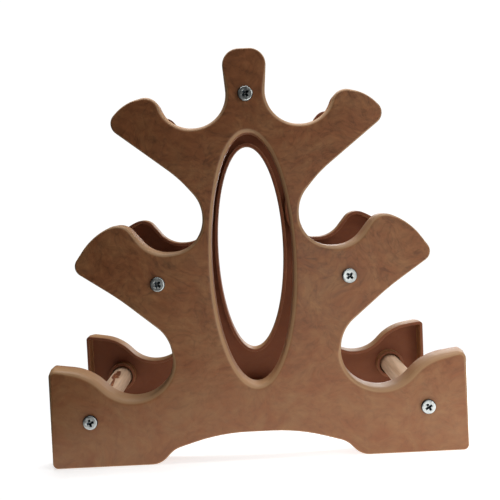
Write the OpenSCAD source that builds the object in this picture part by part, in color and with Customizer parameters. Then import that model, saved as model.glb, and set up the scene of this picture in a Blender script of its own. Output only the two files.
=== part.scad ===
// Dumbbell rack: two moulded side panels, mirror images of each other, held
// apart by five wooden dowels. A screw through each panel holds each dowel end.
// Width runs along X, depth along Y and height along Z. The origin is on the
// ground, midway between the feet and midway between the panels.

/* [Overall] */
// Width across the feet
rack_w = 341; // [320:1:360]
// Height from the ground to the top of the tab
rack_h = 331; // [320:1:345]
// Depth between the outer faces of the two panels
rack_d = 158; // [120:1:200]

/* [Panels] */
// Depth of one panel, from its outer face to its open rim
panel_d = 19; // [15:0.5:25]
// Thickness of the rim wall that follows the outline
wall_t = 2.8; // [2:0.1:3.2]
// Thickness of the flat face
face_t = 3; // [2:0.1:4]
// Width and height of the step that eases the edge of the outer face
edge_ease = 1.6; // [0.8:0.1:2]

/* [Cradles] */
// Radius of the upper pair of cradles
upper_r = 26.5; // [24:0.5:26.5]
// Radius of the middle pair of cradles
middle_r = 27; // [25:0.5:27]
// Radius of the lower pair of cradles
lower_r = 32.5; // [28:0.5:32.5]

/* [Grip opening] */
// Width of the oval opening
oval_w = 66; // [56:1:68]
// Height of the oval opening
oval_h = 204; // [180:1:206]
// Height of its middle above the ground
oval_z = 163.5; // [160:0.5:167]

/* [Dowels] */
// Diameter of the wooden dowels
dowel_d = 19; // [16:0.5:19]
// Outer diameter of the collars that the dowels stand in
collar_d = 27; // [26:0.5:28]
// Wall thickness of the collars
collar_t = 2.6; // [2:0.1:2.8]
// Length of the collars, from the inner side of the face
collar_l = 10; // [6:0.5:14]

/* [Screws] */
// Diameter of the screw heads
head_d = 12; // [9:0.5:13]
// Height of the screw heads
head_h = 2.6; // [2:0.1:3.5]
// Outer diameter of the threaded shank
shank_d = 5; // [4:0.5:5.5]
// Length of the screws under the head
shank_l = 30; // [20:1:40]

/* [Hidden] */
// The outline's corners are placed for this width and height, then stretched
drawn_w = 341;
drawn_h = 331;
stretch_x = rack_w / drawn_w;
stretch_z = rack_h / drawn_h;
half_w = drawn_w / 2;
cut = 1;               // how far cutting shapes run past a face
bend_step = 9;         // degrees between points on a bend
oval_sides = 72;
screw_play = 0.45;     // radial play of a screw in its panel
pilot_play = 0.05;     // radial play of a screw in its dowel
dowel_l = rack_d - 2 * face_t;
dowel_ease = 0.8;      // bevel on the dowel ends
crown_w = 1.4;         // width of the rounding at the edge of a screw head
crown_h = 1.5;         // height of that rounding
crown_step = 30;       // degrees between points on it
point_l = 4;           // length of the point of a screw
slot_w = 2.2;          // width of the arms of a cross recess
slot_l = 6.6;          // length of the arms of a cross recess
slot_t = 1.8;          // depth of a cross recess
weld = 0.01;           // how far a collar runs into the face it stands on
panel_color = "#7a543a";
dowel_color = "#c9a77e";
screw_color = "silver";
$fn = 48;

// Corners of the right half of the outline, from the top centre to the bottom
// centre. Each one is [x, z, radius of the bend].
half_outline = [
    [0, drawn_h, 0],          // top of the tab
    [18.2, drawn_h, 13],      // shoulder of the tab
    [13.6, 270.7, upper_r],   // upper cradle, inner side
    [61.5, 270.7, upper_r],   // upper cradle, outer side
    [72, 298.5, 12],          // upper arm, inner shoulder
    [96, 292.2, 38],          // upper arm, top
    [111.9, 275.6, 9.5],      // upper arm, tip
    [56, 231.8, 100],         // upper arm, underside
    [38.4, 210.5, 29],        // neck above the middle cradle
    [39.5, 172.2, middle_r],  // middle cradle, inner side
    [80.8, 172.2, middle_r],  // middle cradle, outer side
    [102.9, 199.2, 14],       // middle arm, inner shoulder
    [127, 189.4, 53],         // middle arm, top
    [146, 162.8, 8.5],        // middle arm, tip
    [108.5, 137.1, 200],      // middle arm, underside
    [68.5, 103, 31],          // neck above the lower cradle
    [68.5, 54.4, lower_r],    // lower cradle, inner side
    [114.9, 54.4, lower_r],   // lower cradle, outer side
    [138, 78, 45],            // foot, inner shoulder
    [half_w - 0.5, 82.5, 3.4],// foot, outer shoulder
    [half_w, 0, 4.5],         // foot, outer corner on the ground
    [82, 0, 17],              // foot, inner corner on the ground
    [70.5, 12, 20],           // base arch, side
    [32, 23.5, 150],          // base arch, crown
    [0, 23.5, 0],
];

// Centres of the dowels and screws, as [x, z], and their names
post_names = ["top", "mid_left", "mid_right", "low_left", "low_right"];
posts = [[0, 295.5], [-77, 148], [77, 148], [-137.5, 38], [137.5, 38]];

// Turn of the cross recess of each screw, in degrees
front_turns = [38, 52, 47, 14, 31];
rear_turns = [20, 66, 8, 41, 75];

dowel_names = [for (n = post_names) str("dowel_", n)];
front_screw_names = [for (n = post_names) str("screw_front_", n)];
rear_screw_names = [for (n = post_names) str("screw_rear_", n)];

function unit(v) = v / norm(v);

// Points along the bend of radius corner.z at a corner between two others
function bend(before, corner, after) =
    let (here = [corner.x, corner.y],
         u = unit([before.x, before.y] - here),
         v = unit([after.x, after.y] - here),
         half_angle = acos(u * v) / 2,
         reach = corner.z / tan(half_angle),
         centre = here + unit(u + v) * corner.z / sin(half_angle),
         from = here + u * reach - centre,
         to = here + v * reach - centre,
         start = atan2(from.y, from.x),
         turn = (atan2(to.y, to.x) - start + 540) % 360 - 180,
         steps = max(2, ceil(abs(turn) / bend_step)))
    [for (i = [0 : steps])
        centre + corner.z * [cos(start + turn * i / steps), sin(start + turn * i / steps)]];

right_half = [
    for (i = [1 : len(half_outline) - 2])
        each bend(half_outline[i - 1], half_outline[i], half_outline[i + 1])
];
left_half = [for (i = [len(right_half) - 1 : -1 : 0]) [-right_half[i].x, right_half[i].y]];

// Flat profile of a panel: the outline without the oval opening
module profile() {
    difference() {
        scale([stretch_x, stretch_z]) polygon(concat(right_half, left_half));
        polygon([for (i = [0 : oval_sides - 1])
            let (a = 360 * i / oval_sides)
            [oval_w / 2 * cos(a), oval_z + oval_h / 2 * sin(a)]]);
    }
}

// A cylinder from the outer face of the front panel towards the rear one
module along_depth(at, from, length, d) {
    translate([at.x * stretch_x, from, at.y * stretch_z])
        rotate([-90, 0, 0]) cylinder(d = d, h = length);
}

// A slab of the profile between two distances behind the front face
module slab(from, to, inset = 0) {
    translate([0, to - rack_d / 2, 0])
        rotate([90, 0, 0]) linear_extrude(to - from) offset(delta = -inset) profile();
}

// Tray-shaped panel: a face, a wall that turns in from its edge, and collars
module panel() {
    difference() {
        union() {
            difference() {
                union() {
                    slab(edge_ease, panel_d);
                    slab(0, edge_ease, edge_ease);
                }
                slab(face_t, panel_d + cut, wall_t);
            }
            for (p = posts)
                along_depth(p, face_t - rack_d / 2 - weld, collar_l + weld, collar_d);
        }
        for (p = posts) {
            along_depth(p, face_t - rack_d / 2, collar_l + cut, collar_d - 2 * collar_t);
            along_depth(p, -cut - rack_d / 2, face_t + 2 * cut, shank_d + 2 * screw_play);
        }
    }
}

module front_panel() {
    color(panel_color) panel();
}

module rear_panel() {
    color(panel_color) mirror([0, 1, 0]) panel();
}

// Round bar with eased ends and a pilot hole for a screw in each end
module dowel(at) {
    pilot_l = shank_l - face_t + cut;
    r = dowel_d / 2;
    color(dowel_color)
        difference() {
            translate([at.x * stretch_x, -dowel_l / 2, at.y * stretch_z])
                rotate([-90, 0, 0])
                    rotate_extrude()
                        polygon([[0, 0], [r - dowel_ease, 0], [r, dowel_ease],
                                 [r, dowel_l - dowel_ease], [r - dowel_ease, dowel_l],
                                 [0, dowel_l]]);
            for (end = [-dowel_l / 2, dowel_l / 2 - pilot_l])
                along_depth(at, end, pilot_l, shank_d + 2 * pilot_play);
        }
}

// Pan-head screw whose head stands on the front face, with its point to the rear
module screw(at, turn) {
    head_r = head_d / 2;
    shank_r = shank_d / 2;
    crown = [for (a = [0 : crown_step : 90])
        [head_r - crown_w * (1 - sin(a)), crown_h * (1 - cos(a)) - head_h]];
    color(screw_color)
        translate([at.x * stretch_x, -rack_d / 2, at.y * stretch_z])
            rotate([-90, 0, 0])
                difference() {
                    rotate_extrude()
                        polygon(concat([[0, -head_h]], crown,
                                       [[head_r, 0], [shank_r, 0],
                                        [shank_r, shank_l - point_l], [0, shank_l]]));
                    for (arm = [0, 90])
                        rotate([0, 0, turn + arm])
                            translate([-slot_l / 2, -slot_w / 2, -head_h - cut])
                                cube([slot_l, slot_w, slot_t + cut]);
                }
}

front_panel();
rear_panel();
for (i = [0 : len(posts) - 1]) {
    dowel(posts[i]);
    screw(posts[i], front_turns[i]);
    mirror([0, 1, 0]) screw(posts[i], rear_turns[i]);
}
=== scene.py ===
import math

import bmesh
import bpy
from mathutils import Matrix, Vector, noise


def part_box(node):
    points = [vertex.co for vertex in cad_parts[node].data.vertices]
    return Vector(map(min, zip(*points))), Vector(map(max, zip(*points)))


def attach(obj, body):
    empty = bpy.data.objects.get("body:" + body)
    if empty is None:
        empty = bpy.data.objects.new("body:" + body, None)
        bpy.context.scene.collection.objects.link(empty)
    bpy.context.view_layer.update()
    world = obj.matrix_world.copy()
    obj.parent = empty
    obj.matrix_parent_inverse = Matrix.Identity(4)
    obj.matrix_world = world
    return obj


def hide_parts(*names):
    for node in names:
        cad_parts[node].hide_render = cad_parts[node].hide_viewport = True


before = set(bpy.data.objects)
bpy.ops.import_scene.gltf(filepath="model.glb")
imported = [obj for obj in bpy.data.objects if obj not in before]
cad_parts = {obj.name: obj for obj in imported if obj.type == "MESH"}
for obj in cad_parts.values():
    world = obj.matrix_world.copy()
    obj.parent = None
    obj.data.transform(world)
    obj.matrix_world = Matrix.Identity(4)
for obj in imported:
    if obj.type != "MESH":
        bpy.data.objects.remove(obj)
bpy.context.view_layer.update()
MM = 0.001
TAU = 2 * math.pi

# ---------------------------------------- sizes, in mm, and angles, in degrees
# Right half of the panel's outline, from the top centre to the bottom centre:
# corners as (x, z, radius of the bend, rounding of the face's edge there). The
# first three are those of the CAD model, except that the foot's outer shoulder has
# the CAD model's radius only at the open rim and is rounder at the face.
HALF_OUTLINE = [
    (0, 331, 0, 1.3),
    (18.2, 331, 13, 1.3),
    (13.6, 270.7, 26.5, 3.4),
    (61.5, 270.7, 26.5, 3.8),
    (72, 298.5, 12, 2.6),
    (96, 292.2, 38, 1.3),
    (111.9, 275.6, 9.5, 1.3),
    (56, 231.8, 100, 1.3),
    (38.4, 210.5, 29, 2.2),
    (39.5, 172.2, 27, 3.2),
    (80.8, 172.2, 27, 4.2),
    (102.9, 199.2, 14, 2.8),
    (127, 189.4, 53, 1.3),
    (146, 162.8, 8.5, 1.3),
    (108.5, 137.1, 200, 1.3),
    (68.5, 103, 31, 2.0),
    (68.5, 54.4, 32.5, 4.6),
    (114.9, 54.4, 32.5, 4.8),
    (138, 78, 45, 4.8),
    (170, 82.5, 6, 3.4),
    (170.5, 0, 4.5, 1.3),
    (82, 0, 17, 1.3),
    (70.5, 12, 20, 1.3),
    (32, 23.5, 150, 1.3),
    (0, 23.5, 0, 1.3),
]
FOOT_SHOULDER = (170, 82.5)
FOOT_RIM_R = 3.4          # radius of that corner at the open rim
EDGE_BLEND = 9.0          # over how long a change of the edge rounding is spread
OVAL_HALF_W = 33.0
OVAL_HALF_H = 102.0
OVAL_Z = 163.5

PANEL_D = 19.0
FACE_T = 3.0
WALL_T = 2.8
OVAL_ROUND_NECK = 2.9     # rounding round the opening, beside the narrow necks
OVAL_ROUND_ENDS = 3.8     # the same towards its top and bottom
NECK_Z = 191.0            # height of the necks' middle
NECK_HALF_H = 15.0        # how far from there the rounding starts to grow
NECK_BLEND = 45.0         # over what height it grows
FACE_STRIP = 0.4          # flat strip that keeps the shading of both sides flat
RIM_ROUND = 0.6
FLOOR_ROUND = 0.4
BEND_MIDDLE = 0.3         # how far inside its corner a bend's middle lies, in radii

POSTS = ("top", "mid_left", "mid_right", "low_left", "low_right")

COLLAR_R = 13.5
COLLAR_BORE_R = 10.9
COLLAR_L = 10.0
COLLAR_ROUND = 0.5
COLLAR_SUNK = 1.0         # how far a collar starts inside the face
SCREW_HOLE_R = 2.95

DOWEL_EASE = 0.8
PILOT_R = 2.55
PILOT_L = 28.0
PILOT_POINT_L = 1.2       # length of the pointed bottom of a pilot hole
PILOT_EASE = 0.3          # bevel at its mouth
TORN_DOWEL = "dowel_low_left"
# Torn spots on that dowel: middle along Y and half length in mm, heading round the
# dowel and half width in degrees, lean in degrees per half length, depth in mm.
TORN_SPOTS = (
    (39.0, 17.0, 94.0, 30.0, 5.0, 2.8),
    (9.0, 17.0, 79.0, 9.0, 9.0, 2.0),
    (44.0, 9.0, 140.0, 9.0, 0.0, 1.2),
)
TORN_SLOPE = 0.22         # width of their sloping border, in half lengths
TORN_RAGGED = 0.35        # how far the border wanders, in half lengths
TORN_CORE_R = 3.825       # nearer to the axis than this, nothing is torn
RAGGED_ALONG = 0.35       # wanderings per mm along the dowel
RAGGED_ROUND = 3.0        # wanderings per radian round it

CROWN_W = 1.3             # rounding at the top edge of a screw head
CROWN_H = 1.4
CROWN_FLAT = 0.3          # radius of the head's flat middle, as a share of its own
SEAT_BEVEL_W = 0.2        # bevel where the head meets the panel
SEAT_BEVEL_H = 0.25
SHANK_R = 2.5
CORE_R = 1.75             # radius between the ridges of the thread
PITCH = 2.1
RIDGE_HALF_W = 0.28       # half width of a ridge, as a share of the pitch
PLAIN_L = 2.5             # length without thread, under the head
POINT_L = 4.0
POINT_END_L = 0.3         # length of the very tip of the point
POINT_END = 0.06          # its width, as a share of the shank's

RECESS_L = 6.6            # cross recess, at the top of the head
RECESS_W = 2.0
RECESS_T = 1.8
RECESS_END_L = 0.42       # its length and width at the bottom, as shares of those
RECESS_END_W = 0.62
RECESS_POINT_L = 0.7      # how much deeper its middle goes
CUTTER_ABOVE = 0.6        # how far its cutter stands above the head
CUTTER_FLARE = 1.10       # how much wider the cutter is up there

SHARP_DEG = 35.0          # edges that bend by more than this stay sharp
SCREW_SHARP_DEG = 38.0


# ------------------------------------------------------------------- utilities
def new_object(name, bm, material):
    """Turn a bmesh into a smooth-shaded object with its hard edges kept."""
    bmesh.ops.recalc_face_normals(bm, faces=bm.faces)
    mesh = bpy.data.meshes.new(name)
    bm.to_mesh(mesh)
    bm.free()
    mesh.polygons.foreach_set("use_smooth", [True] * len(mesh.polygons))
    mesh.set_sharp_from_angle(angle=math.radians(SHARP_DEG))
    mesh.materials.append(material)
    obj = bpy.data.objects.new(name, mesh)
    bpy.context.scene.collection.objects.link(obj)
    return obj


def publish(obj, node):
    """Hang a finished piece on what it rides on, the root body, and hide the CAD node it
    replaces.
    """
    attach(obj, "root")
    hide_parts(node)


def rounding_shares(steps):
    """(1 - sin, 1 - cos) of evenly spread angles of a quarter turn, for rounded edges."""
    shares = []
    for i in range(steps + 1):
        a = math.pi / 2 * i / steps
        shares.append((1 - math.sin(a), 1 - math.cos(a)))
    return shares


def bridge(bm, ring_a, ring_b):
    """Join two closed rings of equally many vertices with quads."""
    count = len(ring_a)
    for i in range(count):
        j = (i + 1) % count
        bm.faces.new((ring_a[i], ring_a[j], ring_b[j], ring_b[i]))


def cone(bm, rim, tip):
    """Join a closed ring of vertices to one vertex with triangles."""
    count = len(rim)
    for i in range(count):
        bm.faces.new((rim[i], rim[(i + 1) % count], tip))


def ring_edges(bm, ring):
    """Edges of a closed ring of vertices; those that are missing are made."""
    count = len(ring)
    edges = []
    for i in range(count):
        pair = (ring[i], ring[(i + 1) % count])
        edge = bm.edges.get(pair)
        edges.append(edge or bm.edges.new(pair))
    return edges


def lathe_point(centre, side, radius, depth, angle):
    """Place of a point round a Y axis, radius and depth in mm. side is -1 where depth
    is measured from the front and +1 where it is measured from the rear."""
    x = centre.x + radius * MM * math.cos(angle)
    z = centre.z + radius * MM * math.sin(angle)
    return (x, centre.y - side * depth * MM, z)


def revolve(bm, profile, centre, side, sides):
    """Lathe a list of (radius, depth) in mm round a Y axis, as rings of vertices."""
    rings = []
    for radius, depth in profile:
        ring = []
        for i in range(sides if radius > 0 else 1):
            point = lathe_point(centre, side, radius, depth, TAU * i / sides)
            ring.append(bm.verts.new(point))
        rings.append(ring)
    for a, b in zip(rings, rings[1:]):
        if len(a) == 1:
            cone(bm, b, a[0])
        elif len(b) == 1:
            cone(bm, a, b[0])
        else:
            bridge(bm, a, b)
    return rings


def weld(mesh, dist=2e-6):
    """Merge points of a mesh that lie within dist metres of each other."""
    bm = bmesh.new()
    bm.from_mesh(mesh)
    bmesh.ops.remove_doubles(bm, verts=bm.verts, dist=dist)
    bmesh.ops.dissolve_degenerate(bm, edges=bm.edges, dist=dist / 2)
    bm.to_mesh(mesh)
    bm.free()


def combine(obj, other, operation, sharp_deg):
    """Boolean with another object, applied at once; the other object is removed. The
    weld merges the all but coincident points that the Boolean leaves behind."""
    modifier = obj.modifiers.new("combine", "BOOLEAN")
    modifier.operation = operation
    modifier.solver = "EXACT"
    modifier.object = other
    graph = bpy.context.evaluated_depsgraph_get()
    mesh = bpy.data.meshes.new_from_object(obj.evaluated_get(graph))
    obj.modifiers.clear()
    old = obj.data
    obj.data = mesh
    bpy.data.meshes.remove(old)
    bpy.data.objects.remove(other)
    weld(mesh)
    mesh.set_sharp_from_angle(angle=math.radians(sharp_deg))


# --------------------------------------------------------------- panel outline
def bend(before, corner, after, step_deg=3.0):
    """Points and outward normals along the bend at one corner, in mm."""
    here = Vector(corner[:2])
    u = (Vector(before[:2]) - here).normalized()
    v = (Vector(after[:2]) - here).normalized()
    half_angle = math.acos(u.dot(v)) / 2
    radius = corner[2]
    reach = radius / math.tan(half_angle)
    centre = here + (u + v).normalized() * radius / math.sin(half_angle)
    start_arm = here + u * reach - centre
    end_arm = here + v * reach - centre
    start = math.atan2(start_arm.y, start_arm.x)
    turn = math.atan2(end_arm.y, end_arm.x) - start
    turn = (turn + 3 * math.pi) % TAU - math.pi
    side = -1.0 if turn > 0 else 1.0
    steps = max(3, math.ceil(abs(math.degrees(turn)) / step_deg))
    points = []
    for i in range(steps + 1):
        a = start + turn * i / steps
        arm = Vector((math.cos(a), math.sin(a)))
        points.append((centre + radius * arm, side * arm))
    return points


def spread_evenly(values, places, reach):
    """Moving average along a closed loop of points, nearer values counting for more."""
    count = len(places)
    smooth = []
    for i in range(count):
        total = values[i]
        weight = 1.0
        for step in (1, -1):
            k = i
            gone = 0.0
            while True:
                nearest = places[(k + step) % count]
                gone += (nearest - places[k % count]).length
                k += step
                if gone > reach:
                    break
                share = 1.0 - gone / reach
                total += share * values[k % count]
                weight += share
        smooth.append(total / weight)
    return smooth


def flip(flat):
    """Mirror image of a flat point or direction, left for right."""
    return Vector((-flat.x, flat.y))


def outline_bends():
    """Right half of the outline as (point, point at the rim, outward normal, rounding)."""
    bends = []
    for i in range(1, len(HALF_OUTLINE) - 1):
        before, corner, after = HALF_OUTLINE[i - 1:i + 2]
        rim_corner = corner
        if corner[:2] == FOOT_SHOULDER:
            rim_corner = (corner[0], corner[1], FOOT_RIM_R)
        at_face = bend(before, corner, after)
        at_rim = bend(before, rim_corner, after)
        for (point, normal), (rim_point, _) in zip(at_face, at_rim):
            bends.append((point, rim_point, normal, corner[3]))
    return bends


def outline_loop(longest=2.5):
    """Closed outline, clockwise from the front, with entries like outline_bends."""
    right = outline_bends()
    left = []
    for p, rim, n, r in reversed(right):
        left.append((flip(p), flip(rim), flip(n), r))
    loop = []
    points = right + left
    for i, (p, rim, n, r) in enumerate(points):
        q, next_rim, m, s = points[(i + 1) % len(points)]
        parts = math.ceil((q - p).length / longest)
        for k in range(parts):
            t = k / parts
            normal = n.lerp(m, t).normalized()
            loop.append((p.lerp(q, t), rim.lerp(next_rim, t), normal, r + (s - r) * t))
    places = [entry[0] for entry in loop]
    rounds = spread_evenly([entry[3] for entry in loop], places, EDGE_BLEND)
    return [(p, rim, n, r) for (p, rim, n, _), r in zip(loop, rounds)]


def oval_loop(count=160):
    """The oval opening, its normals pointing into the opening."""
    loop = []
    for i in range(count):
        a = TAU * i / count
        point = Vector((OVAL_HALF_W * math.cos(a), OVAL_Z + OVAL_HALF_H * math.sin(a)))
        normal = -Vector((math.cos(a) / OVAL_HALF_W, math.sin(a) / OVAL_HALF_H))
        away = (abs(point.y - NECK_Z) - NECK_HALF_H) / NECK_BLEND
        away = min(1.0, max(0.0, away))
        rounding = OVAL_ROUND_NECK + (OVAL_ROUND_ENDS - OVAL_ROUND_NECK) * away
        loop.append((point, point, normal.normalized(), rounding))
    return loop


def wall_profile(face_steps=8, rim_steps=3):
    """Section of the wall from the face over the rim to the tray's floor.

    Each entry gives the inset from the outline and then the depth behind the face,
    both as a share of the edge's rounding and a length in mm that is added to it."""
    section = [(1.0, FACE_STRIP, 0.0, 0.0)]
    for inward, down in rounding_shares(face_steps):
        section.append((inward, 0.0, down, 0.0))
    section.append((0.0, 0.0, 0.0, PANEL_D / 2))
    for back, inward in rounding_shares(rim_steps):
        section.append((0.0, RIM_ROUND * inward, 0.0, PANEL_D - RIM_ROUND * back))
    for outward, back in rounding_shares(rim_steps):
        section.append((0.0, WALL_T - RIM_ROUND * outward, 0.0, PANEL_D - RIM_ROUND * back))
    section.append((0.0, WALL_T, 0.0, PANEL_D / 2))
    section.append((0.0, WALL_T, 0.0, FACE_T + FLOOR_ROUND))
    middle = BEND_MIDDLE * FLOOR_ROUND
    section.append((0.0, WALL_T + middle, 0.0, FACE_T + middle))
    section.append((0.0, WALL_T + FLOOR_ROUND, 0.0, FACE_T))
    section.append((0.0, WALL_T + FLOOR_ROUND + FACE_STRIP, 0.0, FACE_T))
    return section


# ---------------------------------------------------------------------- panels
def sweep_wall(bm, loop, section, place):
    """Sweep the wall's section along a loop, giving its rings at the face and floor."""
    rings = []
    for share, inset, depth_share, depth in section:
        ring = []
        at_rim = depth >= PANEL_D / 2
        for face_point, rim_point, n, rounding in loop:
            edge = rim_point if at_rim else face_point
            flat = edge - n * (share * rounding + inset)
            ring.append(bm.verts.new(place(flat, depth_share * rounding + depth)))
        rings.append(ring)
    for a, b in zip(rings, rings[1:]):
        bridge(bm, a, b)
    return rings[0], rings[-1]


def screw_hole(bm, at, place, sides=36):
    """Wall of a screw hole, giving its rings at the face and floor."""
    rings = []
    for depth in (0.0, FACE_T):
        ring = []
        for i in range(sides):
            a = TAU * i / sides
            arm = SCREW_HOLE_R * Vector((math.cos(a), math.sin(a)))
            ring.append(bm.verts.new(place(at + arm, depth)))
        rings.append(ring)
    bridge(bm, rings[0], rings[1])
    return rings


def build_panel(name, side, post_places, material):
    """One moulded tray. side is -1 for the front panel and +1 for the rear one."""
    lo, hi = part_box(name)
    face_y = lo.y if side < 0 else hi.y

    def place(flat, depth):
        """A point of the flat outline, some way behind the panel's face."""
        return Vector((-side * flat.x * MM, face_y - side * depth * MM, flat.y * MM))

    bm = bmesh.new()
    section = wall_profile()
    face_rings = []
    floor_rings = []
    for loop in (outline_loop(), oval_loop()):
        first, last = sweep_wall(bm, loop, section, place)
        face_rings.append(first)
        floor_rings.append(last)
    for at in post_places:
        first, last = screw_hole(bm, Vector((-side * at.x / MM, at.z / MM)), place)
        face_rings.append(first)
        floor_rings.append(last)
    for rings in (face_rings, floor_rings):
        edges = []
        for ring in rings:
            edges += ring_edges(bm, ring)
        bmesh.ops.triangle_fill(bm, edges=edges, use_beauty=True)
    panel = new_object(name + "_moulding", bm, material)
    collars = build_collars(face_y, side, post_places, material)
    combine(panel, collars, "UNION", SHARP_DEG)
    publish(panel, name)


def collar_profile(steps=3):
    """Closed section of a collar with a rounded end, as (radius, depth) in mm."""
    top = COLLAR_L + FACE_T
    bottom = FACE_T - COLLAR_SUNK
    profile = [(COLLAR_R, bottom)]
    for down, inward in rounding_shares(steps):
        profile.append((COLLAR_R - COLLAR_ROUND * inward, top - COLLAR_ROUND * down))
    for outward, down in rounding_shares(steps):
        profile.append((COLLAR_BORE_R + COLLAR_ROUND * outward, top - COLLAR_ROUND * down))
    profile.append((COLLAR_BORE_R, bottom))
    profile.append((COLLAR_R, bottom))
    return profile


def build_collars(face_y, side, post_places, material, sides=64):
    """The collars of one panel, as one object. Each one's last ring is merged with its
    first, which closes its section."""
    bm = bmesh.new()
    for at in post_places:
        centre = Vector((at.x, face_y, at.z))
        revolve(bm, collar_profile(), centre, side, sides)
    bmesh.ops.remove_doubles(bm, verts=bm.verts, dist=1e-6)
    return new_object("collars", bm, material)


# ---------------------------------------------------------------------- dowels
def torn_depth(along, angle):
    """How deep, in mm, the torn patch runs under the dowel's surface at a place."""
    deepest = 0.0
    for mid, half_l, heading, half_w, lean, depth in TORN_SPOTS:
        u = (along - mid) / half_l
        way = math.remainder(angle - math.radians(heading + lean * u), TAU)
        v = math.degrees(way) / half_w
        where = Vector((along * RAGGED_ALONG, angle * RAGGED_ROUND, heading))
        room = 1.0 + TORN_RAGGED * noise.noise(where) - math.hypot(u, v)
        deepest = max(deepest, depth * min(1.0, max(0.0, room / TORN_SLOPE)))
    return deepest


def tear(bm, centre):
    """Sink the vertices in the torn patch of one dowel. Its pilot holes stay."""
    for vert in bm.verts:
        arm = Vector((vert.co.x - centre.x, vert.co.z - centre.z))
        if arm.length < TORN_CORE_R * MM:
            continue
        depth = torn_depth(vert.co.y / MM, math.atan2(arm.y, arm.x))
        sunk = arm * (1.0 - depth * MM / arm.length)
        vert.co.x = centre.x + sunk.x
        vert.co.z = centre.z + sunk.y


def build_dowel(name, material, rows=60, sides=72, torn=False, ease_steps=4):
    """Turned rod with eased ends and a pilot hole for a screw in each end."""
    lo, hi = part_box(name)
    length = (hi.y - lo.y) / MM
    radius = (hi.x - lo.x) / 2 / MM
    centre = Vector(((lo.x + hi.x) / 2, lo.y, (lo.z + hi.z) / 2))
    end = [(0, PILOT_L), (PILOT_R, PILOT_L - PILOT_POINT_L)]
    end += [(PILOT_R, PILOT_EASE), (PILOT_R + PILOT_EASE, 0)]
    for inward, down in rounding_shares(ease_steps):
        end.append((radius - DOWEL_EASE * inward, DOWEL_EASE * down))
    middle = []
    for i in range(1, rows):
        middle.append((radius, DOWEL_EASE + (length - 2 * DOWEL_EASE) * i / rows))
    other_end = [(r, length - d) for r, d in reversed(end)]
    bm = bmesh.new()
    revolve(bm, end + middle + other_end, centre, -1, sides)
    if torn:
        tear(bm, centre)
    dowel = new_object(name + "_rod", bm, material)
    publish(dowel, name)


# ---------------------------------------------------------------------- screws
def screw_profile(head_r, head_h, crown_steps=7):
    """Half section of the head, from its crown to the shank, in mm."""
    profile = [(0, -head_h), (head_r * CROWN_FLAT, -head_h)]
    for inward, down in rounding_shares(crown_steps):
        profile.append((head_r - CROWN_W * inward, -head_h + CROWN_H * down))
    profile.append((head_r, -SEAT_BEVEL_H))
    profile.append((head_r - SEAT_BEVEL_W, 0))
    profile.append((SHANK_R, 0))
    return profile


def thread_radius(turns, angle):
    """Radius, in mm, of a sharp thread at a number of turns along the shank."""
    phase = (turns - angle / TAU) % 1.0
    ridge = max(0.0, 1.0 - abs(phase - 0.5) / RIDGE_HALF_W)
    return CORE_R + (SHANK_R - CORE_R) * ridge


def build_screw_body(bm, centre, side, head_r, head_h, shank_l, sides=48, rows_per_turn=8):
    """Lathed head and a shank whose thread grows out of it and tapers to a point."""
    previous = revolve(bm, screw_profile(head_r, head_h), centre, side, sides)[-1]
    rows = int((shank_l - PLAIN_L) / PITCH * rows_per_turn)
    for k in range(rows):
        depth = PLAIN_L + (shank_l - POINT_END_L - PLAIN_L) * k / (rows - 1)
        taper = min(1.0, max(POINT_END, (shank_l - depth) / POINT_L))
        grow = min(1.0, k / rows_per_turn)
        ring = []
        for i in range(sides):
            a = TAU * i / sides
            radius = thread_radius((depth - PLAIN_L) / PITCH, a) * taper
            radius = SHANK_R * taper * (1 - grow) + radius * grow
            ring.append(bm.verts.new(lathe_point(centre, side, radius, depth, a)))
        bridge(bm, previous, ring)
        previous = ring
    cone(bm, previous, bm.verts.new(lathe_point(centre, side, 0.0, shank_l, 0.0)))


def recess_cutter(centre, side, head_h, turn_deg, material):
    """Tapered cross that is cut out of a screw head, turned about the screw's axis."""
    levels = (
        (-head_h - CUTTER_ABOVE, RECESS_L / 2 * CUTTER_FLARE, RECESS_W / 2 * CUTTER_FLARE),
        (-head_h, RECESS_L / 2, RECESS_W / 2),
        (-head_h + RECESS_T, RECESS_L / 2 * RECESS_END_L, RECESS_W / 2 * RECESS_END_W),
    )
    turn = Matrix.Rotation(math.radians(turn_deg), 2)
    bm = bmesh.new()
    rings = []
    for depth, arm, half in levels:
        corners = []
        for quarter in range(4):
            spin = Matrix.Rotation(math.pi / 2 * quarter, 2)
            for flat in ((arm, -half), (arm, half), (half, half)):
                corners.append(turn @ spin @ Vector(flat))
        ring = []
        for c in corners:
            place = (centre.x + c.x * MM, centre.y - side * depth * MM, centre.z + c.y * MM)
            ring.append(bm.verts.new(place))
        rings.append(ring)
    for a, b in zip(rings, rings[1:]):
        bridge(bm, a, b)
    bm.faces.new(rings[0])
    deepest = -head_h + RECESS_T + RECESS_POINT_L
    bottom = bm.verts.new(lathe_point(centre, side, 0.0, deepest, 0.0))
    cone(bm, rings[-1], bottom)
    return new_object("recess", bm, material)


def build_screw(name, side, turn_deg, panel_box, material):
    """Pan-head screw with a cross recess, standing on the face of one panel."""
    lo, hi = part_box(name)
    face_y = panel_box[0].y if side < 0 else panel_box[1].y
    head_h = abs((lo.y if side < 0 else hi.y) - face_y) / MM
    shank_l = abs((hi.y if side < 0 else lo.y) - face_y) / MM
    head_r = (hi.x - lo.x) / 2 / MM
    centre = Vector(((lo.x + hi.x) / 2, face_y, (lo.z + hi.z) / 2))
    bm = bmesh.new()
    build_screw_body(bm, centre, side, head_r, head_h, shank_l)
    screw = new_object(name + "_steel", bm, material)
    recess = recess_cutter(centre, side, head_h, turn_deg, material)
    combine(screw, recess, "DIFFERENCE", SCREW_SHARP_DEG)
    publish(screw, name)


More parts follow.
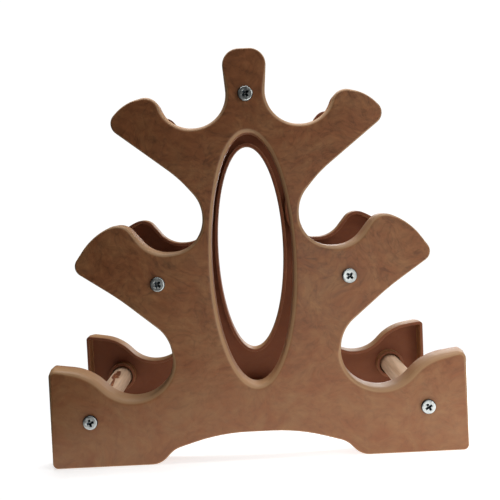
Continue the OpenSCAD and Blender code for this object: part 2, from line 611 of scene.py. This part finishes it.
# ------------------------------------------------------------------- materials
# The materials work in metres, as their coordinates do. Colours are linear.
RED_BROWN = (0.266, 0.093, 0.031)
TAN_BROWN = (0.288, 0.131, 0.050)
# The pale tan and its share are a painted highlight on the panels' rounded edges and upward
# sides.
HIGHLIGHT_TAN = (0.460, 0.270, 0.134)
HIGHLIGHT_SHARE = 0.80
# The dark brown and its share are painted shade on the sides that face the inside of the rack.
INNER_PAINTED_SHADE = (0.178, 0.043, 0.0145)
INNER_SHADE_SHARE = 0.75

PALE_WOOD = (0.640, 0.455, 0.310)
TAN_WOOD = (0.490, 0.315, 0.195)
TORN_DARK = (0.150, 0.038, 0.008)
TORN_LIGHT = (0.330, 0.115, 0.035)

ZINC_LIGHT = (0.66, 0.69, 0.67)
ZINC_DULL = (0.50, 0.53, 0.52)
# The darkest zinc is painted shade below the heads' crowns and in their recesses.
ZINC_PAINTED_SHADE = (0.035, 0.045, 0.055)


class Tree:
    """Short calls for building one material's node tree. A value that is fed to a
    socket is another node's socket, a number, a vector or a colour."""

    def __init__(self, name):
        self.material = bpy.data.materials.new(name)
        self.material.use_nodes = True
        self.nodes = self.material.node_tree.nodes
        self.links = self.material.node_tree.links
        self.shader = self.nodes["Principled BSDF"]
        self.coords = self.nodes.new("ShaderNodeTexCoord").outputs["Object"]

    def add(self, kind, settings=None, **sockets):
        """New node, its sockets given by name (Detail_Scale) or by number (i0)."""
        node = self.nodes.new(kind)
        for key, value in (settings or {}).items():
            setattr(node, key, value)
        for key, value in sockets.items():
            self.feed(node, key, value)
        return node

    def feed(self, node, key, value):
        """Link a value to one of a node's sockets, or set the socket to it."""
        key = int(key[1:]) if key[0] == "i" and key[1:].isdigit() else key.replace("_", " ")
        socket = node.inputs[key]
        if isinstance(value, bpy.types.NodeSocket):
            self.links.new(value, socket)
        elif socket.type == "RGBA":
            socket.default_value = (*value, 1)
        else:
            socket.default_value = value

    def stretch(self, vector, scale, turn=(0, 0, 0)):
        """Coordinates scaled along each axis, after a turn in radians."""
        node = self.add("ShaderNodeMapping", Vector=vector, Scale=scale, Rotation=turn)
        return node.outputs["Vector"]

    def noise(self, vector, scale, detail=3.0, rough=0.55, distortion=0.0, output="Fac"):
        """A fractal noise, as a number or as a colour."""
        node = self.add(
            "ShaderNodeTexNoise",
            Vector=vector,
            Scale=scale,
            Detail=detail,
            Roughness=rough,
            Distortion=distortion,
        )
        return node.outputs[output]

    def wave(self, vector, scale, distortion, detail, detail_scale):
        """Bands stacked along Z and bent out of line."""
        settings = {"wave_type": "BANDS", "bands_direction": "Z", "wave_profile": "SIN"}
        node = self.add(
            "ShaderNodeTexWave",
            settings,
            Vector=vector,
            Scale=scale,
            Distortion=distortion,
            Detail=detail,
            Detail_Scale=detail_scale,
        )
        return node.outputs["Fac"]

    def ramp(self, factor, stops):
        """Colours by a factor, from stops of (factor, colour)."""
        node = self.add("ShaderNodeValToRGB", Fac=factor)
        elements = node.color_ramp.elements
        while len(elements) < len(stops):
            elements.new(0.5)
        for element, (place, colour) in zip(elements, stops):
            element.position = place
            element.color = (*colour, 1)
        return node.outputs["Color"]

    def remap(self, value, low, high, to_low, to_high):
        """A value that goes from low to high, made to go from to_low to to_high."""
        node = self.add("ShaderNodeMapRange", i0=value, i1=low, i2=high, i3=to_low, i4=to_high)
        return node.outputs["Result"]

    def math(self, operation, a, b=0.0):
        """A sum, product or other operation on one or two numbers."""
        node = self.add("ShaderNodeMath", {"operation": operation}, i0=a, i1=b)
        return node.outputs[0]

    def mix(self, factor, a, b, blend="MIX"):
        """Colour a, with a share of colour b laid over it."""
        settings = {"data_type": "RGBA", "blend_type": blend}
        node = self.add("ShaderNodeMix", settings, i0=factor, i6=a, i7=b)
        return node.outputs[2]

    def apart(self, vector, axis):
        """One component of a vector."""
        return self.add("ShaderNodeSeparateXYZ", Vector=vector).outputs[axis]

    def shade(self, colour, tone):
        """A colour times one number."""
        grey = self.add("ShaderNodeCombineColor", Red=tone, Green=tone, Blue=tone)
        return self.mix(1.0, colour, grey.outputs[0], "MULTIPLY")

    def warp(self, vector, scale, amount, detail=2.0):
        """Coordinates pushed about by a slow noise, for curling streaks."""
        field = self.noise(vector, scale, detail=detail, output="Color")
        settings = {"operation": "MULTIPLY_ADD"}
        shift = self.add("ShaderNodeVectorMath", settings, i0=field, i1=(amount,) * 3, i2=vector)
        return shift.outputs[0]

    def bump(self, height, strength, distance, normal=None):
        """Normals of a relief, on top of those of an earlier one."""
        node = self.add("ShaderNodeBump", Height=height, Strength=strength, Distance=distance)
        if normal is not None:
            self.feed(node, "Normal", normal)
        return node.outputs["Normal"]

    def finish(self, **sockets):
        """Feed the shader's sockets and give the material."""
        for key, value in sockets.items():
            self.feed(self.shader, key, value)
        return self.material


def vein(t, vector, scale, width, dark):
    """Thin contour lines along a noise's middle level, zero elsewhere."""
    level = t.noise(vector, scale, detail=2.0, rough=0.5)
    off = t.math("ABSOLUTE", t.math("SUBTRACT", level, 0.5))
    return t.remap(off, 0.0, width, dark, 0.0)


def swirl_colours(t):
    """Swirled brown, redder towards the top and livelier above the feet, and the fine
    streaks that also drive the roughness."""
    height = t.apart(t.coords, "Z")
    curl = t.warp(t.coords, 9.0, 0.075)
    swirl = t.warp(curl, 34.0, 0.022)
    cloud = t.noise(curl, 24.0, detail=3.0, rough=0.6)
    blotch = t.noise(swirl, 75.0, detail=4.0, rough=0.62)
    flow = t.stretch(swirl, (0.6, 1.0, 1.0), (0.0, 0.7, 0.0))
    streak = t.noise(flow, 230.0, detail=4.0, rough=0.62, distortion=0.6)
    figure = t.wave(curl, 42.0, distortion=9.0, detail=3.0, detail_scale=1.4)
    warmth = t.math("ADD", t.math("MULTIPLY", cloud, 0.5), t.math("MULTIPLY", blotch, 0.5))
    share = t.remap(warmth, 0.38, 0.62, 0.0, 1.0)
    share = t.math("ADD", share, t.remap(height, 0.03, 0.30, 0.10, -0.38))
    base = t.mix(share, RED_BROWN, TAN_BROWN)
    change = t.remap(streak, 0.28, 0.72, -0.22, 0.22)
    change = t.math("ADD", change, t.remap(figure, 0.0, 1.0, -0.05, 0.05))
    change = t.math("ADD", change, t.remap(blotch, 0.30, 0.70, -0.11, 0.11))
    change = t.math("SUBTRACT", change, vein(t, swirl, 52.0, 0.030, 0.17))
    change = t.math("SUBTRACT", change, vein(t, swirl, 120.0, 0.040, 0.15))
    lively = t.remap(height, 0.05, 0.15, 0.45, 1.0)
    tone = t.math("ADD", t.math("MULTIPLY", change, lively), 1.04)
    return t.shade(base, tone), streak


def painted_light_places(t):
    """Two masks over a panel: where a highlight is painted, along its rounded edges and on its
    upward sides, most of all near its outer face, and where shade is painted, where it faces the
    rack's inside."""
    geometry = t.add("ShaderNodeNewGeometry")
    normal_y = t.apart(geometry.outputs["Normal"], "Y")
    normal_z = t.apart(geometry.outputs["Normal"], "Z")
    place_y = t.apart(t.coords, "Y")
    flat = t.math("ABSOLUTE", normal_y)
    beyond_wall = t.remap(flat, 0.05, 0.35, 0.0, 1.0)
    before_face = t.remap(flat, 0.9, 0.99, 1.0, 0.0)
    edge = t.math("MULTIPLY", beyond_wall, before_face)
    # Mask of the painted highlight: rounded edges and upward sides, by the shading normal.
    highlight_places = t.math("MAXIMUM", edge, t.remap(normal_z, 0.3, 0.8, 0.0, 1.0))
    outermost = t.remap(t.math("ABSOLUTE", place_y), 0.060, 0.072, 0.35, 1.0)
    highlight_places = t.math("MULTIPLY", highlight_places, outermost)
    outward = t.math("MULTIPLY", normal_y, t.math("SIGN", place_y))
    # Mask of the painted shade: sides whose normal points into the rack.
    inner = t.remap(outward, -0.75, -0.45, 1.0, 0.0)
    return highlight_places, inner


def plastic_material():
    """Brown moulded plastic with faint swirls like burr wood, with a painted highlight on its
    rounded edges and upward sides and painted shade where it faces the inside of the rack."""
    t = Tree("moulded_brown_plastic")
    colour, streak = swirl_colours(t)
    highlight_places, inner = painted_light_places(t)
    # Painted highlight: rounded edges and upward sides mixed towards pale tan.
    colour = t.mix(t.math("MULTIPLY", highlight_places, HIGHLIGHT_SHARE), colour, HIGHLIGHT_TAN)
    # Painted shade: sides facing the rack's inside mixed towards dark brown.
    colour = t.mix(t.math("MULTIPLY", inner, INNER_SHADE_SHARE), colour, INNER_PAINTED_SHADE)
    rough = t.remap(streak, 0.3, 0.7, 0.44, 0.56)
    rough = t.math("ADD", rough, t.math("MULTIPLY", inner, 0.3))
    rough = t.math("ADD", rough, t.math("MULTIPLY", highlight_places, 0.06))
    grain = t.noise(t.coords, 900.0, detail=2.0)
    soft = t.noise(t.coords, 55.0, detail=2.0)
    normal = t.bump(grain, 0.10, 0.0004)
    normal = t.bump(soft, 0.12, 0.004, normal)
    return t.finish(Base_Color=colour, Roughness=rough, Normal=normal, Specular_IOR_Level=0.5)


def wood_base(t):
    """Colour, roughness and fibres of pale sanded wood with grain along the rod."""
    along = t.stretch(t.coords, (1.0, 0.045, 1.0))
    fibre = t.noise(along, 900.0, detail=3.0, rough=0.6)
    band = t.noise(along, 170.0, detail=2.0, distortion=0.6)
    base = t.ramp(band, [(0.35, TAN_WOOD), (0.62, PALE_WOOD)])
    tone = t.remap(fibre, 0.35, 0.65, 0.84, 1.06)
    colour = t.shade(base, tone)
    rough = t.remap(fibre, 0.3, 0.7, 0.60, 0.80)
    return colour, rough, fibre


def wood_material():
    """Pale sanded wood with a light relief along its fibres."""
    t = Tree("pale_dowel_wood")
    colour, rough, fibre = wood_base(t)
    normal = t.bump(fibre, 0.25, 0.0006)
    return t.finish(Base_Color=colour, Roughness=rough, Normal=normal)


def torn_wood_material(axis, radius):
    """The same wood, red-brown and rough where the surface of a dowel is torn away. The
    dowel's ends, which stand in the collars, stay pale, and so do its pilot holes."""
    t = Tree("torn_dowel_wood")
    colour, rough, fibre = wood_base(t)
    x = t.math("SUBTRACT", t.apart(t.coords, "X"), axis.x)
    z = t.math("SUBTRACT", t.apart(t.coords, "Z"), axis.z)
    square = t.math("ADD", t.math("MULTIPLY", x, x), t.math("MULTIPLY", z, z))
    sunk = t.math("SUBTRACT", radius, t.math("SQRT", square))
    away = t.math("ABSOLUTE", t.apart(t.coords, "Y"))
    torn = t.remap(sunk, 0.0003, 0.0009, 0.0, 1.0)
    torn = t.math("MULTIPLY", torn, t.remap(away, 0.064, 0.068, 1.0, 0.0))
    strands = t.ramp(fibre, [(0.42, TORN_DARK), (0.66, TORN_LIGHT)])
    colour = t.mix(torn, colour, strands)
    normal = t.bump(fibre, 0.45, 0.0008)
    return t.finish(Base_Color=colour, Roughness=rough, Normal=normal)


def steel_material(head_mid):
    """Zinc-plated steel, with painted shade below the crown of the heads and in their recesses.
    """
    t = Tree("zinc_plated_steel")
    cloud = t.noise(t.coords, 420.0, detail=3.0)
    fine = t.noise(t.coords, 2600.0, detail=2.0)
    colour = t.ramp(cloud, [(0.35, ZINC_DULL), (0.60, ZINC_LIGHT)])
    away = t.math("ABSOLUTE", t.apart(t.coords, "Y"))
    off_middle = t.math("ABSOLUTE", t.math("SUBTRACT", away, head_mid))
    # Painted shade: a band below the crown, round the head's rim and in the recess.
    painted_shade = t.remap(off_middle, 0.0007, 0.0011, 1.0, 0.0)
    colour = t.mix(painted_shade, colour, ZINC_PAINTED_SHADE)
    rough = t.remap(cloud, 0.3, 0.7, 0.34, 0.48)
    normal = t.bump(fine, 0.06, 0.0002)
    return t.finish(Base_Color=colour, Roughness=rough, Normal=normal, Metallic=1.0)


def floor_material():
    """A plain pale table, lit from within like a light table and more so on the right."""
    t = Tree("pale_floor")
    speck = t.noise(t.coords, 60.0)
    colour = t.ramp(speck, [(0.3, (0.66,) * 3), (0.7, (0.68,) * 3)])
    rightward = t.remap(t.apart(t.coords, "X"), -0.20, 0.25, 0.0, 1.0)
    glow = t.ramp(rightward, [(0.0, (0.60,) * 3), (1.0, (1.0,) * 3)])
    return t.finish(Base_Color=colour, Roughness=0.9, Emission_Color=glow, Emission_Strength=0.95)


# ------------------------------------------- floor, light, camera, all in metres
FLOOR_MIDDLE = (0.075, -0.01)
FLOOR_RINGS = (0.1, 0.2, 0.29)    # radii, the last one that of the floor's edge

# Area lights: name, place, the point it faces, width and length, and its watts
LIGHTS = (
    ("top", (0.0, 0.06, 1.0), (0.0, 0.0, 0.1), (0.8, 0.5), 9.8),
    ("low_right", (0.4, -0.35, 0.06), (0.12, -0.08, 0.08), (0.15, 0.08), 0.32),
    ("high_right", (0.3, -0.3, 0.4), (0.05, -0.08, 0.15), (0.2, 0.2), 0.45),
    ("low_middle", (0.08, -0.4, 0.12), (0.06, -0.08, 0.12), (0.15, 0.1), 0.17),
    ("back_right", (0.6, 1.0, 0.42), (0.1, 0.0, 0.1), (1.0, 0.5), 8.2),
)
BACKDROP = 1.05                   # strength of the world's white, as the camera sees it
FILL = 0.02                       # strength of the world as a light

CAMERA_AT = (-0.005, -0.6291, 0.2116)
CAMERA_YAW = -0.338               # in degrees, facing a little to the right
CAMERA_PITCH = -4.10              # in degrees, facing a little down
CAMERA_ROLL = -2.619              # in degrees
LENS_MM = 49.68
SENSOR_MM = 36.0


def build_floor(material, sides=64):
    """A pale round table that the feet stand on, nearer to the right."""
    bm = bmesh.new()
    rings = []
    for radius in FLOOR_RINGS:
        ring = []
        for i in range(sides):
            a = TAU * i / sides
            x = FLOOR_MIDDLE[0] + radius * math.cos(a)
            ring.append(bm.verts.new((x, FLOOR_MIDDLE[1] + radius * math.sin(a), 0)))
        rings.append(ring)
    bm.faces.new(rings[0])
    for a, b in zip(rings, rings[1:]):
        bridge(bm, a, b)
    new_object("floor", bm, material)


def add_area(name, place, aim, size, watts):
    """A rectangular area light that the camera doesn't see."""
    data = bpy.data.lights.new(name, "AREA")
    data.shape = "RECTANGLE"
    data.size = size[0]
    data.size_y = size[1]
    data.energy = watts
    lamp = bpy.data.objects.new(name, data)
    lamp.location = place
    way = Vector(aim) - Vector(place)
    lamp.visible_camera = False
    lamp.rotation_mode = "QUATERNION"
    lamp.rotation_quaternion = way.to_track_quat("-Z", "Y")
    bpy.context.scene.collection.objects.link(lamp)


def build_lights():
    """Most light comes from above and behind, a little from the front right."""
    for light in LIGHTS:
        add_area(*light)


def build_world():
    """White to the camera, nearly dark as a source of light."""
    world = bpy.data.worlds.new("studio")
    world.use_nodes = True
    nodes = world.node_tree.nodes
    links = world.node_tree.links
    seen = nodes["Background"]
    seen.inputs["Color"].default_value = (1, 1, 1, 1)
    seen.inputs["Strength"].default_value = BACKDROP
    fill = nodes.new("ShaderNodeBackground")
    fill.inputs["Color"].default_value = (1, 0.99, 0.97, 1)
    fill.inputs["Strength"].default_value = FILL
    path = nodes.new("ShaderNodeLightPath")
    pick = nodes.new("ShaderNodeMixShader")
    links.new(path.outputs["Is Camera Ray"], pick.inputs[0])
    links.new(fill.outputs[0], pick.inputs[1])
    links.new(seen.outputs[0], pick.inputs[2])
    links.new(pick.outputs[0], nodes["World Output"].inputs["Surface"])
    bpy.context.scene.world = world


def build_camera():
    """Slightly above and left of the middle, close up, with a small roll."""
    data = bpy.data.cameras.new("camera")
    data.lens = LENS_MM
    data.sensor_width = SENSOR_MM
    data.clip_start = 0.01
    data.clip_end = 50.0
    camera = bpy.data.objects.new("camera", data)
    level = math.pi / 2           # lifts the view from straight down to level
    turn = Matrix.Rotation(math.radians(CAMERA_YAW), 4, "Z")
    turn = turn @ Matrix.Rotation(level + math.radians(CAMERA_PITCH), 4, "X")
    turn = turn @ Matrix.Rotation(math.radians(CAMERA_ROLL), 4, "Z")
    camera.matrix_world = Matrix.Translation(CAMERA_AT) @ turn
    bpy.context.scene.collection.objects.link(camera)
    bpy.context.scene.camera = camera


# ------------------------------------------------------------------- the build
# Turn of each screw's cross recess, in degrees, in the order of POSTS
SCREW_TURNS = {
    "front": (38, 52, 47, 14, 31),
    "rear": (20, 66, 8, 41, 75),
}


def build_rack():
    """Make every piece of the rack, in place of the CAD model's nodes."""
    plastic = plastic_material()
    wood = wood_material()
    panel_boxes = {"front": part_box("front_panel"), "rear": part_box("rear_panel")}
    head_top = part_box("screw_rear_top")[1].y
    head_seat = panel_boxes["rear"][1].y
    steel = steel_material((head_top + head_seat) / 2)
    places = []
    for post in POSTS:
        lo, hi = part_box("dowel_" + post)
        places.append((lo + hi) / 2)
    build_panel("front_panel", -1, places, plastic)
    build_panel("rear_panel", 1, places, plastic)
    for post in POSTS:
        name = "dowel_" + post
        if name == TORN_DOWEL:
            lo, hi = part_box(name)
            torn_wood = torn_wood_material((lo + hi) / 2, (hi.x - lo.x) / 2)
            build_dowel(name, torn_wood, rows=220, sides=144, torn=True)
        else:
            build_dowel(name, wood)
    for end, side in (("front", -1), ("rear", 1)):
        for post, turn in zip(POSTS, SCREW_TURNS[end]):
            name = "screw_" + end + "_" + post
            build_screw(name, side, turn * -side, panel_boxes[end], steel)


build_rack()
build_floor(floor_material())
build_lights()
build_world()
build_camera()
bpy.context.scene.view_settings.view_transform = "Standard"
